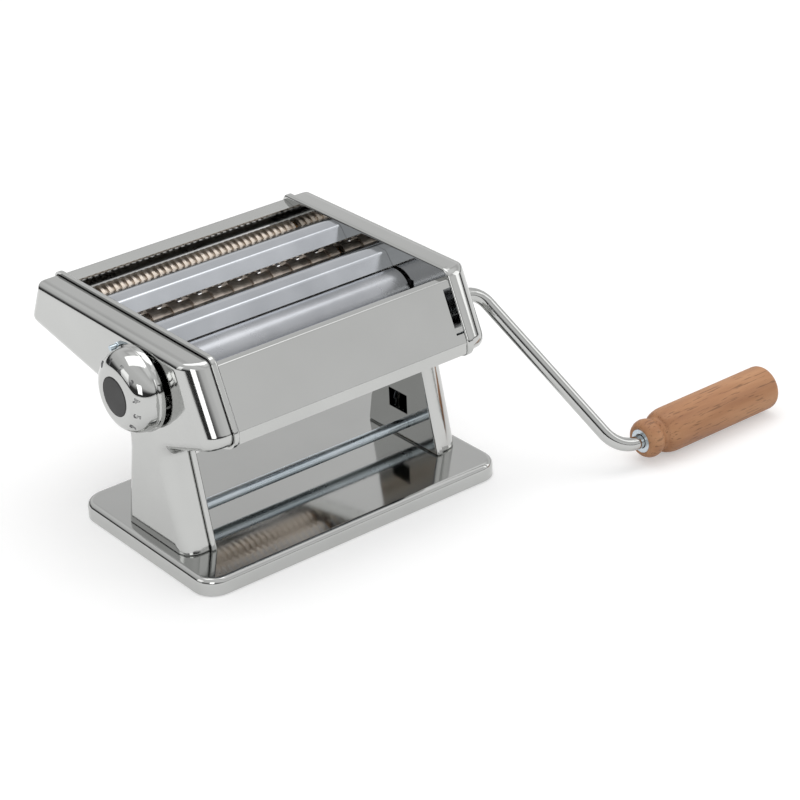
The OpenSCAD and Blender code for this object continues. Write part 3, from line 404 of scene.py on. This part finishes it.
# %% Finishes by part
FINISHES = {
    sheet_chrome: ["left_side_plate", "right_side_plate", "left_cover", "right_cover",
                   "front_panel", "rear_panel", "base_plate"],
    knob_chrome: ["knob"],
    bar_chrome: ["crank_bar"],
    guide_steel: ["front_guide", "rear_guide"],
    roller_steel: ["front_smooth_roller", "rear_smooth_roller"],
    cutter_nickel: ["wide_cutter_front", "wide_cutter_rear", "fine_cutter_front",
                    "fine_cutter_rear"],
    zinc_plate: ["tie_rod", "head_rod", "rod_nuts", "base_screws", "index_pin", "grip_ferrule",
                 "grip_washer", "crank_pin"],
    spring_steel: ["front_scraper", "rear_scraper", "wide_comb_front", "wide_comb_rear",
                   "fine_comb_front", "fine_comb_rear", "yoke_springs", "knob_spring",
                   "adjuster_shaft"],
    dark_steel: ["front_smooth_gear", "rear_smooth_gear", "wide_gear_front", "wide_gear_rear",
                 "fine_gear_front", "fine_gear_rear", "snail_cam", "yoke_left", "yoke_right",
                 "yoke_bar"],
    bush_bronze: ["smooth_bushes", "wide_bushes", "fine_bushes", "adjuster_bush"],
    beech: ["grip"],
    cap_plastic: ["knob_cap"],
    foot_rubber: ["rubber_feet"],
}


def dress(thing, material):
    thing.data.materials.clear()
    thing.data.materials.append(material)


finish_of = {name: material for material, names in FINISHES.items() for name in names}
for name, thing in nodes.items():
    dress(thing, finish_of[name])
print("dressed", len(finish_of), "parts")

# %% [markdown]
# ## Smooth skins for the polished parts
# A pressed edge is stored as narrow flat strips, and a mirror shows each strip as a kink. On the
# real sheet the curve is even. A copy of the part is welded and shaded smooth below a limit
# angle. The flats are many triangles in one plane, so a limited dissolve joins them into single
# faces first; then normals weighted by face area keep the wide flats flat, and only the curved
# strips blend. The copy then stands for the part. The merged copy is a helper of its own, since
# other steps need one too.

# %% A merged copy of a part
WELD = 0.000002


def merged_copy(source, name):
    bpy.ops.object.select_all(action="DESELECT")
    source.select_set(True)
    bpy.context.view_layer.objects.active = source
    bpy.ops.object.duplicate()
    copy = bpy.context.object
    copy.name = name
    bpy.ops.object.mode_set(mode="EDIT")
    bpy.ops.mesh.select_all(action="SELECT")
    bpy.ops.mesh.remove_doubles(threshold=WELD)
    bpy.ops.object.mode_set(mode="OBJECT")
    return copy


# %% [markdown]
# ## Flat walls of the covers
# The outer wall of a cover is one big flat with a notched outline and two holes. Triangles that
# fill such an outline can fold over at the notch of the neck, and a mirror shows the fold as a
# black wedge. Flipping single triangles by hand would be slow. It is surer to cut the flat's
# faces out, select the open edges that are left, and fill that outline again in one go.

# %% Fill a flat wall again
IN_PLANE = 0.00001


def refill_flat(skin, x):
    bpy.ops.object.mode_set(mode="EDIT")
    bpy.ops.mesh.select_mode(type="FACE")
    bpy.ops.mesh.select_all(action="DESELECT")
    bpy.ops.object.mode_set(mode="OBJECT")
    points = skin.data.vertices
    for face in skin.data.polygons:
        face.select = all(abs(points[i].co.x - x) < IN_PLANE for i in face.vertices)
    bpy.ops.object.mode_set(mode="EDIT")
    bpy.ops.mesh.delete(type="FACE")
    bpy.ops.mesh.select_mode(type="EDGE")
    bpy.ops.mesh.select_all(action="DESELECT")
    bpy.ops.mesh.select_non_manifold(extend=False, use_wire=False, use_boundary=True,
                                     use_multi_face=False, use_non_contiguous=False,
                                     use_verts=False)
    bpy.ops.mesh.fill(use_beauty=True)
    bpy.ops.mesh.select_mode(type="FACE")
    bpy.ops.mesh.select_all(action="SELECT")
    bpy.ops.mesh.normals_make_consistent(inside=False)
    bpy.ops.object.mode_set(mode="OBJECT")


COVER_SHEET = 0.0012
left_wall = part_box("left_cover")[0][0]
right_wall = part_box("right_cover")[1][0]
WALLS = {"left_cover": [left_wall, left_wall + COVER_SHEET],
         "right_cover": [right_wall, right_wall - COVER_SHEET]}
print("flat walls at x:", WALLS)

# %% [markdown]
# ## Dressing each polished part
# With both helpers at hand, every polished part gets its skin in one short loop. The limit angle
# of 33 degrees keeps true edges sharp and lets the rolled and turned forms blend.

# %% Make the smooth skins
SAME_FLAT = math.radians(0.4)
SMOOTH_LIMIT = math.radians(33)


def skin_of(name, body):
    skin = merged_copy(nodes[name], name + "_skin")
    for x in WALLS.get(name, []):
        refill_flat(skin, x)
    bpy.ops.object.mode_set(mode="EDIT")
    bpy.ops.mesh.select_all(action="SELECT")
    bpy.ops.mesh.dissolve_limited(angle_limit=SAME_FLAT, delimit=set())
    bpy.ops.object.mode_set(mode="OBJECT")
    bpy.ops.object.shade_smooth_by_angle(angle=SMOOTH_LIMIT)
    weighted = skin.modifiers.new("flats", "WEIGHTED_NORMAL")
    weighted.keep_sharp = True
    weighted.weight = 90
    bpy.ops.object.modifier_apply(modifier=weighted.name)
    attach(skin, body)
    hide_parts(name)
    return skin


SKINS = {
    "frame": ["base_plate", "left_side_plate", "right_side_plate", "left_cover", "right_cover",
              "front_panel", "rear_panel", "front_guide", "rear_guide"],
    "knob": ["knob"],
    "grip": ["grip"],
    "crank": ["crank_bar"],
    "front_roller": ["front_smooth_roller"],
    "rear_roller": ["rear_smooth_roller"],
}
skins = {}
for body, names in SKINS.items():
    for name in names:
        skins[name] = skin_of(name, body)
print("skins:", {name: len(skin.data.polygons) for name, skin in skins.items()})

# %% [markdown]
# ## Left end of the front panel
# The model's panel is notched at both ends, but on the real one only the right notch is open, and
# at the left the sheet runs up to the side plate. A new strip could be drawn by hand, yet its bend
# would never quite match. So the strip is cut from a plain stretch of a copy of the panel, with
# four bisect planes, and slid along into the notch, where it lies flush.

# %% Cut the strip for the left notch
def cut(at, normal):
    bpy.ops.mesh.select_all(action="SELECT")
    bpy.ops.mesh.bisect(plane_co=at, plane_no=normal, use_fill=True, clear_outer=True)


panel_low = Vector(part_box("front_panel")[0])
INSIDE = 0.001
ABOVE = 0.005
notch = [point.co for point in nodes["front_panel"].data.vertices
         if panel_low.x + INSIDE < point.co.x < 0 and point.co.z > panel_low.z + ABOVE]
notch_edge = min(corner.x for corner in notch)
notch_foot = min(corner.z for corner in notch)
notch_head = max(corner.z for corner in notch)
SLIDE = 0.01

strip = merged_copy(skins["front_panel"], "front_panel_end_strip")
bpy.ops.object.mode_set(mode="EDIT")
cut((notch_edge + SLIDE, 0, 0), (1, 0, 0))
cut((panel_low.x + SLIDE, 0, 0), (-1, 0, 0))
cut((0, 0, notch_head), (0, 0, 1))
cut((0, 0, notch_foot), (0, 0, -1))
bpy.ops.mesh.select_all(action="SELECT")
bpy.ops.transform.translate(value=(-SLIDE, 0, 0))
bpy.ops.mesh.normals_make_consistent(inside=False)
bpy.ops.object.mode_set(mode="OBJECT")
bpy.ops.mesh.customdata_custom_splitnormals_clear()
bpy.ops.object.shade_flat()
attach(strip, "frame")
print("notch x", round(panel_low.x, 5), round(notch_edge, 5), "z", round(notch_foot, 4),
      round(notch_head, 4), "strip faces", len(strip.data.polygons))

# %% [markdown]
# ## Numbers on the dial
# The knob carries the numbers of its settings, stamped into the chrome. Here they are thin
# outlines in a dark finish, which is painted shade standing for the shadow inside the stamped
# grooves. They could be cut into the dome, but such fine cuts would spoil its smooth skin. Instead
# each number is a text object of outlines only, given thickness, turned into a mesh, and laid on
# the dome: one step of the knob apart, and tilted to the dome's slope at that radius.

# %% The dial numbers
knob_low, knob_high = (Vector(corner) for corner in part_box("knob"))
knob_axis = (knob_low + knob_high) / 2
NUMBER_RADIUS = 0.0195
NUMBER_SIZE = 0.0056
NUMBER_STEP = 30
NUMBER_START = -42
NUMBER_LINE = 0.00013


def on_the_dome(angle):
    """The place on the knob's dome at an angle from the top, and the three axes of a number."""
    out = Vector((0, -math.sin(angle), math.cos(angle)))
    start = Vector((knob_low.x, knob_axis.y, knob_axis.z)) + out * NUMBER_RADIUS
    found, place, normal, face = skins["knob"].closest_point_on_mesh(start)
    across = out.cross(normal).normalized()
    return place, across, normal.cross(across), normal


def dial_number(value):
    bpy.ops.object.select_all(action="DESELECT")
    bpy.ops.object.text_add()
    text = bpy.context.object
    text.data.body = str(value)
    text.data.size = NUMBER_SIZE
    text.data.align_x = "CENTER"
    text.data.align_y = "CENTER"
    text.data.fill_mode = "NONE"
    text.data.bevel_depth = NUMBER_LINE
    text.data.bevel_resolution = 1
    text.data.resolution_u = 4
    bpy.ops.object.convert(target="MESH")
    number = bpy.context.object
    number.name = f"dial_number_{value}"
    place, across, up, normal = on_the_dome(math.radians(NUMBER_START + NUMBER_STEP * value))
    stand = Matrix((across, up, normal)).transposed().to_4x4()
    number.matrix_world = Matrix.Translation(place) @ stand
    bpy.ops.object.transform_apply(location=True, rotation=True, scale=True)
    # The dark finish here is painted shade: it stands for the shadow inside the stamped grooves.
    dress(number, dark_steel)
    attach(number, "knob")
    return number


numbers = [dial_number(value) for value in range(7)]
first_point = numbers[0].data.vertices[0].co
print("numbers on the dial:", len(numbers), "first at", [round(v, 4) for v in first_point])

# %% [markdown]
# ## View transform
# The picture is shown with the Standard view transform.

# %% Set the view transform
bpy.context.scene.view_settings.view_transform = "Standard"
